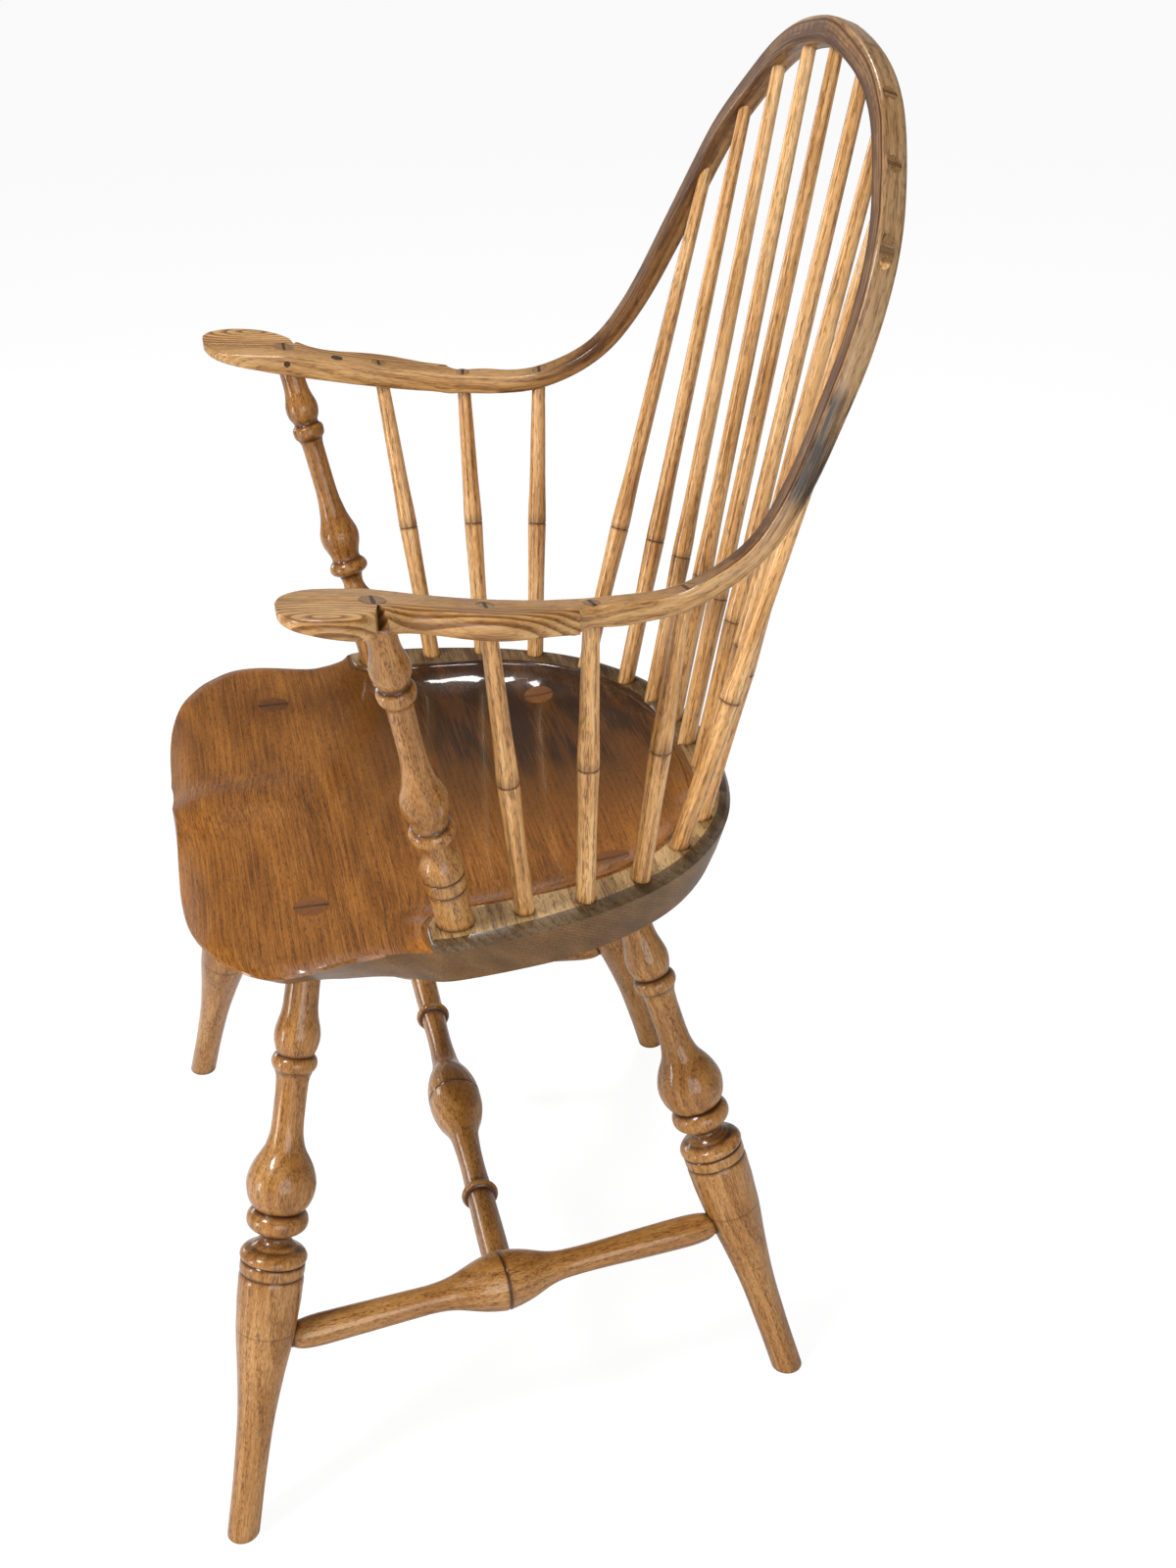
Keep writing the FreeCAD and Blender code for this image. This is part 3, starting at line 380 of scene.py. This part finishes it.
def long_axis(points):
    # Axis of a turned piece: the line that makes every thin slice as round as can be.
    middle = points.mean(axis=0)
    axis = numpy.linalg.eigh(numpy.cov((points - middle).T))[1][:, 2]
    for _ in range(FIT_ROUNDS):
        side = numpy.cross(axis, ASKEW)
        side /= numpy.linalg.norm(side)
        other = numpy.cross(axis, side)
        away = points - middle
        along = away @ axis
        x = away @ side
        y = away @ other
        radius = numpy.maximum(numpy.hypot(x, y), LEAST_RADIUS)
        key = numpy.round(along / SLICE).astype(int)
        key -= key.min()
        table = numpy.stack((radius, x / radius, y / radius, along * x / radius,
                             along * y / radius), axis=1)
        count = numpy.maximum(numpy.bincount(key), 1)
        for column in table.T:
            column -= (numpy.bincount(key, column) / count)[key]
        usual = numpy.abs(table[:, 0]) < OFF_ROUND
        shift = numpy.linalg.lstsq(table[usual, 1:], table[usual, 0], rcond=None)[0]
        middle = middle + side * shift[0] + other * shift[1]
        axis = axis + side * shift[2] + other * shift[3]
        axis /= numpy.linalg.norm(axis)
    if axis[2] < 0:
        axis = -axis
    return middle, axis


def turned_piece(node, material, slot, number):
    # A lathe-turned piece, dark with dirt and painted shade in its grooves.
    mesh = smooth_copy(node)
    points = positions(mesh)
    middle, axis = long_axis(points)
    along = (points - middle) @ axis
    radius = numpy.linalg.norm(points - middle - along[:, None] * axis, axis=1)
    key = numpy.round(along / SLICE).astype(int)
    key -= key.min()
    profile = numpy.zeros(key.max() + 1)
    numpy.maximum.at(profile, key, radius)
    known = numpy.bincount(key) >= FEWEST_POINTS
    every = numpy.arange(len(profile))
    profile = numpy.interp(every, every[known], profile[known])
    padded = numpy.pad(profile, GROOVE_REACH, mode="edge")
    beside = (padded[:-2 * GROOVE_REACH] + padded[2 * GROOVE_REACH:]) / 2
    slices = numpy.clip((beside - profile - GROOVE_START) / GROOVE_FULL, 0.0, GROOVE_DIRT_AND_SHADE)
    spread = range(-RIM_REACH, RIM_REACH + 1)
    rims = numpy.maximum.reduce([numpy.roll(slices, step) for step in spread])
    own = numpy.clip((beside[key] - radius - GROOVE_START) / GROOVE_FULL, 0.0, GROOVE_DIRT_AND_SHADE)
    end = ramp(along, along.max() - TENON_END, MM)
    # The crevice attribute: dirt and painted shade in grooves and on their rims.
    write(mesh, "crevice", numpy.maximum(own, RIM_DIRT_AND_SHADE * rims[key]) * (1.0 - end))
    write(mesh, "post_top" if node.startswith("arm_post") else "end", end)
    upright = Vector(axis).to_track_quat("Z", "Y").to_matrix().inverted()
    turn = Matrix.Rotation(number * STICK_TURN, 3, "Z") @ upright
    place = numpy.array((STICK_X * (number % 5), STICK_Y * (number % 3), STICK_Z * number))
    write(mesh, "grain", (points - middle) @ numpy.array(turn).T + place)
    set_piece(node + "_turned", mesh, slot, node, material)


# The seat's zones, in mm on the plan. The deck lies behind its line, and the shoulder and
# the side lie outside ovals of this half width and half depth.
DECK_LINE = -43.0
SEAT_MIDDLE = 8.0
SHOULDER_OVAL = (205.0, 178.0)
SIDE_OVAL = (200.0, 172.0)
SHOULDER_DROP = 7.0
# How far a face's normal points up: level, rising, steep and underneath.
LEVEL, RISING, STEEP, UNDER = 0.999, 0.1, 0.2, -0.2
DECK_TOLERANCE = 0.05
# Where painted shade darkens the dish: across from the near side to the far one, and back from the
# front.
DARK_START, DARK_REACH, DARKEST = 110.0, -240.0, 0.8
DARK_FRONT, DARK_DEPTH = -90.0, 120.0
# The plank's grain runs from side to side. The rows say where a step along the chair's X, Y
# and Z leads in the timber.
PLANK_GRAIN = numpy.array(((0.0, 0.0, 1.0), (0.9, 1.0, 0.0), (1.3, 0.2, 0.0)))


def outside(x, y, oval):
    # Whether a place on the plan lies outside an oval round the seat's middle.
    return math.hypot(x / oval[0], (y - SEAT_MIDDLE) / oval[1]) > 1.0


def seat_zone(face):
    # 0 the dish and the front, 1 the flat deck, 2 the shoulder round it, 3 the side.
    x, y, z = face.center / MM
    y -= PLAN_SHIFT
    behind = y > DECK_LINE
    if behind and face.normal.z > LEVEL and abs(z - DECK_HEIGHT) < DECK_TOLERANCE:
        return 1
    faces_out = face.normal.x * x + face.normal.y * (y - SEAT_MIDDLE) > 0.0
    high = face.normal.z > RISING and z > DECK_HEIGHT - SHOULDER_DROP
    if behind and high and faces_out and outside(x, y, SHOULDER_OVAL):
        return 2
    if face.normal.z < UNDER or face.normal.z < STEEP and outside(x, y, SIDE_OVAL):
        return 3
    return 0


def seat_piece():
    # The plank, finished zone by zone.
    mesh = smooth_copy("seat", SEAT_SMOOTH_ANGLE)
    points = positions(mesh)
    write(mesh, "grain", points @ PLANK_GRAIN)
    x = points[:, 0] / MM
    y = points[:, 1] / MM - PLAN_SHIFT
    # Painted shade: darker towards the far side and the back of the seat, on dish and deck alike.
    far = numpy.minimum(ramp(x, DARK_START, DARK_REACH), DARKEST)
    write(mesh, "shaded", far * ramp(y, DARK_FRONT, DARK_DEPTH))
    set_piece("seat_plank", mesh, "seat_plank", "seat",
              dish_wood, deck_wood, shoulder_wood, side_wood)
    for face in mesh.polygons:
        face.material_index = seat_zone(face)


# The rail's middle line down the sitter's left side: X as a share of the arms' half spread,
# Y in mm, and height above the deck as a share of the bow's rise.
arm_half = [
    (1.021, -135.0, 0.5135), (1.014, -66.0, 0.5010), (1.0, 0.0, 0.4712), (0.987, 35.0, 0.4600),
]
rail_half = [
    (0.970, 58.0, 0.4525), (0.956, 82.0, 0.4490), (0.941, 106.0, 0.4460),
    (0.930, 128.0, 0.4490), (0.9175, 146.0, 0.4605), (0.902, 171.0, 0.4880),
    (0.879, 193.0, 0.5390), (0.856, 209.0, 0.5940), (0.837, 221.7, 0.6455),
    (0.815, 235.0, 0.7010), (0.776, 248.5, 0.7625), (0.707, 261.2, 0.8270),
    (0.627, 269.3, 0.8690), (0.557, 275.0, 0.9000), (0.464, 281.0, 0.9360),
    (0.306, 286.3, 0.9735), (0.084, 287.9, 0.9970),
]
RAIL_TOP_Y = 288.0
RAIL_STEPS = 16
# The rail turns from lying flat to leaning back over this stretch of Y.
TWIST_START, TWIST_REACH = 95.0, 75.0


def rail_stations():
    # Middle of the rail's face from one hand round to the other, every 2 mm or so.
    half = numpy.array([(x * ARM_HALF_SPREAD, y, DECK_HEIGHT + z * BOW_RISE)
                        for x, y, z in arm_half + rail_half])
    mirrored = half[::-1] * (-1.0, 1.0, 1.0)
    line = numpy.vstack((half, [(0.0, RAIL_TOP_Y, DECK_HEIGHT + BOW_RISE)], mirrored))
    padded = numpy.vstack((2 * line[0] - line[1], line, 2 * line[-1] - line[-2]))
    fine = []
    for a, b, c, d in zip(padded, padded[1:], padded[2:], padded[3:]):
        for t in numpy.linspace(0.0, 1.0, RAIL_STEPS, endpoint=False):
            fine.append(0.5 * (2 * b + (c - a) * t + (2 * a - 5 * b + 4 * c - d) * t * t
                               + (3 * b - a - 3 * c + d) * t ** 3))
    fine = numpy.array(fine + [line[-1]])
    twist = ramp(fine[:, 1], TWIST_START, TWIST_REACH)
    hoop = twist * twist * (3.0 - 2.0 * twist)
    fine[:, 1] += PLAN_SHIFT
    fine *= MM
    along = numpy.gradient(fine, axis=0)
    along /= numpy.linalg.norm(along, axis=1)[:, None]
    lean = math.radians(HOOP_LEAN)
    flat = numpy.array((0.0, 0.0, 1.0))
    leaning = numpy.array((0.0, -math.cos(lean), math.sin(lean)))
    hint = (1.0 - hoop)[:, None] * flat + hoop[:, None] * leaning
    normal = hint - along * (hint * along).sum(axis=1)[:, None]
    normal /= numpy.linalg.norm(normal, axis=1)[:, None]
    across = numpy.cross(along, normal)
    steps = numpy.linalg.norm(numpy.diff(fine, axis=0), axis=1)
    length = numpy.concatenate(([0.0], numpy.cumsum(steps)))
    return fine, along, across, normal, length, hoop


line, line_along, line_across, line_normal, line_length, line_hoop = rail_stations()


def rail_places(points):
    # Offset across, offset along the face's normal, length along the rail, share of hoop.
    nearest = numpy.array([numpy.argmin(((line - p) ** 2).sum(axis=1)) for p in points])
    away = points - line[nearest]
    across = (away * line_across[nearest]).sum(axis=1)
    normal = (away * line_normal[nearest]).sum(axis=1)
    length = line_length[nearest] + (away * line_along[nearest]).sum(axis=1)
    return across, normal, length, line_hoop[nearest]


# On the rail, in mm across it, through it and above the floor: where its outer face starts, where the
# front's painted shade is darkest, where the top has weathered, and where the beaded face lies.
OUTER_START, OUTER_REACH = 5.0, 3.0
FRONT_START, FRONT_REACH = -9.0, 3.0
WEATHER_START, WEATHER_REACH = 640.0, 200.0
FACE_START, FACE_REACH = -0.9, 0.5
# The front is shaded at least this much, and the grain slants this much through the rail.
LEAST_SHADE = 0.4
GRAIN_SLANT = 0.4
# Two grey stains on the outer face: how far along the rail, and their half length, in metres.
STAIN_PLACE, STAIN_LENGTH = 0.374, 0.024
SPOT_PLACE, SPOT_LENGTH, SPOT_DEPTH = 0.416, 0.006, 0.8
# Half width of the rail's face, by share of the way from the arm to the top of the hoop.
FACE_ARM, FACE_HOOP = 0.195, 0.76
face_shares = (0.0, 0.1, 0.2, 0.3, 0.45, 0.75, 1.0)
face_halves = (11.2, 10.0, 9.2, 8.4, 8.0, 8.4, 9.0)


def rail_piece():
    # The bent rail: grain along its length, painted shade in front, greyer outside and high up.
    mesh = smooth_copy("arm_bow")
    points = positions(mesh)
    across, normal, length, hoop = rail_places(points)
    write(mesh, "grain", numpy.stack((across + normal * GRAIN_SLANT, normal, length), axis=1))
    outer = ramp(across / MM, OUTER_START, OUTER_REACH)
    high = ramp(points[:, 2] / MM, WEATHER_START, WEATHER_REACH)
    write(mesh, "weathered", outer * high * hoop)
    # Painted shade on the hoop away from its outer face, darkest on the front.
    front = ramp(normal / MM, FRONT_START, FRONT_REACH)
    write(mesh, "shaded", hoop * (1.0 - outer) * (LEAST_SHADE + (1.0 - LEAST_SHADE) * front))
    stain = numpy.exp(-((length - STAIN_PLACE) / STAIN_LENGTH) ** 4)
    spot = numpy.exp(-((length - SPOT_PLACE) / SPOT_LENGTH) ** 2)
    write(mesh, "stain", outer * (stain + SPOT_DEPTH * spot))
    share = ramp(numpy.minimum(length, line_length[-1] - length), FACE_ARM, FACE_HOOP)
    half = numpy.interp(share, face_shares, face_halves)
    on_face = ramp(normal / MM, FACE_START, FACE_REACH)
    write(mesh, "edge", numpy.stack((across / MM, half, on_face * hoop), axis=1))
    set_piece("arm_bow_shaped", mesh, "bent_rail", "arm_bow", rail_wood)


# The hand's pad: its middle in mm on the plan, how much longer than wide its ovals are, how
# far behind the middle they close in mm, and the plane that they lie in, which falls outwards.
PAD_X, PAD_Y = 289.0, -94.0
PAD_LENGTH = 3.6
PAD_BACK = 34.0
PAD_ACROSS, PAD_DOWN = 0.82, 0.57
# The pad's height above the deck as a share of the bow's rise, and how far it falls for each
# mm behind this Y.
PAD_HEIGHT = 0.5135
PAD_FALL_START, PAD_FALL = -120.0, 0.13


def hand_piece(node):
    # A side piece of the arm, with ovals round its pad.
    mesh = smooth_copy(node)
    points = positions(mesh)
    across, normal, length, _ = rail_places(points)
    write(mesh, "grain", numpy.stack((normal, across, length), axis=1))
    x, y, z = (points / MM).T
    y = y - PLAN_SHIFT
    fall = numpy.minimum(0.0, -PAD_FALL * (y - PAD_FALL_START))
    top = DECK_HEIGHT + PAD_HEIGHT * BOW_RISE + fall
    slope = (numpy.abs(x) - PAD_X) * PAD_ACROSS - (z - top) * PAD_DOWN
    forward = numpy.minimum(y - PAD_Y, PAD_BACK) / PAD_LENGTH
    write(mesh, "pad", numpy.stack((slope, forward, numpy.zeros(len(x))), axis=1))
    set_piece(node + "_shaped", mesh, "bent_rail", node, hand_wood)


def small_piece(node, slot, material):
    # A wedge, a peg or a plug.
    mesh = smooth_copy(node)
    write(mesh, "grain", positions(mesh))
    set_piece(node + "_driven", mesh, slot, node, material)


turned_names = ("leg_front", "leg_back", "side_", "medial", "arm_post")
seat_piece()
rail_piece()
for number, node in enumerate(sorted(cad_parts)):
    if node in ("post_pegs", "arm_plug_right"):
        small_piece(node, "plug_wood", wedge_wood)
    elif node == "back_spindle_wedges":
        small_piece(node, "wedge_wood", pale_wedge_wood)
    elif node.endswith("_wedges"):
        small_piece(node, "wedge_wood", wedge_wood)
    elif node.startswith(turned_names):
        turned_piece(node, turned_wood, "turned_wood", number)
    elif "spindle" in node:
        turned_piece(node, spindle_wood, "spindle_wood", number)
    elif node.startswith("hand_block"):
        hand_piece(node)

# Camera, at the height and distance of a standing person beside the chair.
EYE = Vector((1.3305, -0.20245, 1.16564))
RIGHT = Vector((0.21531359, 0.97624379, -0.02425134))
UP = Vector((-0.46633375, 0.12460724, 0.87578871))
SENSOR = 36.0
# Focal length in pixels of a frame that is this many pixels high.
FOCAL_PIXELS = 2050.0
FRAME_PIXELS = 1600.0
FARTHEST = 60.0
camera_data = bpy.data.cameras.new("camera")
camera = bpy.data.objects.new("camera", camera_data)
bpy.context.collection.objects.link(camera)
facing = Matrix((RIGHT, UP, RIGHT.cross(UP))).transposed()
camera.matrix_world = Matrix.Translation(EYE) @ facing.to_4x4()
camera_data.sensor_width = SENSOR
camera_data.lens = FOCAL_PIXELS / FRAME_PIXELS * SENSOR
camera_data.clip_end = FARTHEST
bpy.context.scene.camera = camera

# Every lamp points at the seat.
AIM = Vector((0.0, 0.0, 0.45))


def softbox(name, direction, distance, size, power):
    # Distance and size, which is width and height, in metres, and power in watts.
    data = bpy.data.lights.new(name, "AREA")
    data.shape = "RECTANGLE"
    data.size, data.size_y = size
    data.energy = power
    lamp = bpy.data.objects.new(name, data)
    bpy.context.collection.objects.link(lamp)
    at = AIM + Vector(direction).normalized() * distance
    turn = (AIM - at).to_track_quat("-Z", "Y").to_matrix()
    lamp.matrix_world = Matrix.Translation(at) @ turn.to_4x4()


# One lamp above the front gives the form, a broad one beside the camera fills its shadows,
# one on the ceiling lights the hoop, and two windows draw streaks on the polish.
softbox("front_softbox", (0.27, -0.60, 0.75), distance=3.2, size=(0.7, 0.8), power=66.0)
softbox("ceiling_softbox", (-0.44, 0.04, 0.89), distance=2.6, size=(0.45, 0.45), power=26.0)
softbox("window", (-0.78, -0.60, 0.12), distance=2.6, size=(0.7, 0.45), power=7.0)
softbox("front_window", (0.25, -1.0, 0.02), distance=2.6, size=(0.4, 0.9), power=14.0)
softbox("camera_softbox", (0.92, 0.10, 0.20), distance=3.4, size=(2.4, 2.0), power=48.0)

# To the camera the floor's own glow gives most of its white, and the rest takes the shadow.
FLOOR_GLOW = 0.93
FLOOR_SIZE = 30.0


def studio_paper():
    # Matt white paper: pale and even to the camera, with the chair's soft shadow kept.
    material = bpy.data.materials.new("studio_paper_matt")
    material.use_nodes = True
    tree = material.node_tree
    tree.nodes.clear()
    paper = add(tree, "BsdfDiffuse", {"Color": srgb("#EEEEEE")})
    shown = add(tree, "BsdfDiffuse", {"Color": srgb("#6A6A6A")})
    glow = add(tree, "Emission", {"Color": srgb("#FFFFFF"), "Strength": FLOOR_GLOW})
    bright = add(tree, "AddShader", {0: shown, 1: glow})
    path = add(tree, "LightPath")
    both = add(tree, "MixShader", {0: path.outputs["Is Camera Ray"], 1: paper, 2: bright})
    add(tree, "OutputMaterial", {"Surface": both})
    return material


def studio_floor():
    work = bmesh.new()
    bmesh.ops.create_grid(work, x_segments=1, y_segments=1, size=FLOOR_SIZE)
    mesh = bpy.data.meshes.new("floor")
    work.to_mesh(mesh)
    work.free()
    mesh.materials.append(studio_paper())
    floor = bpy.data.objects.new("floor", mesh)
    bpy.context.collection.objects.link(floor)


# The light of the walls and the ceiling, and the heights at which the walls end and the
# ceiling starts, as the upward part of a direction.
WALL_LIGHT, CEILING_LIGHT = 0.48, 0.10
WALL_TOP, CEILING_START = 0.05, 0.35


def studio_room():
    # Pale walls low down, a dim ceiling, plain white where the camera looks past them.
    world = bpy.data.worlds.new("studio")
    world.use_nodes = True
    bpy.context.scene.world = world
    tree = world.node_tree
    tree.nodes.clear()
    path = add(tree, "LightPath")
    direction = add(tree, "TexCoord")
    height = add(tree, "SeparateXYZ", {0: direction.outputs["Generated"]})
    room = add(tree, "MapRange", {"Value": height.outputs["Z"], "From Min": WALL_TOP,
                                  "From Max": CEILING_START, "To Min": WALL_LIGHT,
                                  "To Max": CEILING_LIGHT}, interpolation_type="SMOOTHSTEP")
    level = add(tree, "Mix", {"Factor": path.outputs["Is Camera Ray"], "A": room, "B": 1.0})
    sky = add(tree, "Background", {"Color": srgb("#FFFFFF"), "Strength": level})
    add(tree, "OutputWorld", {"Surface": sky})


studio_floor()
studio_room()

bpy.context.scene.view_settings.view_transform = "Standard"
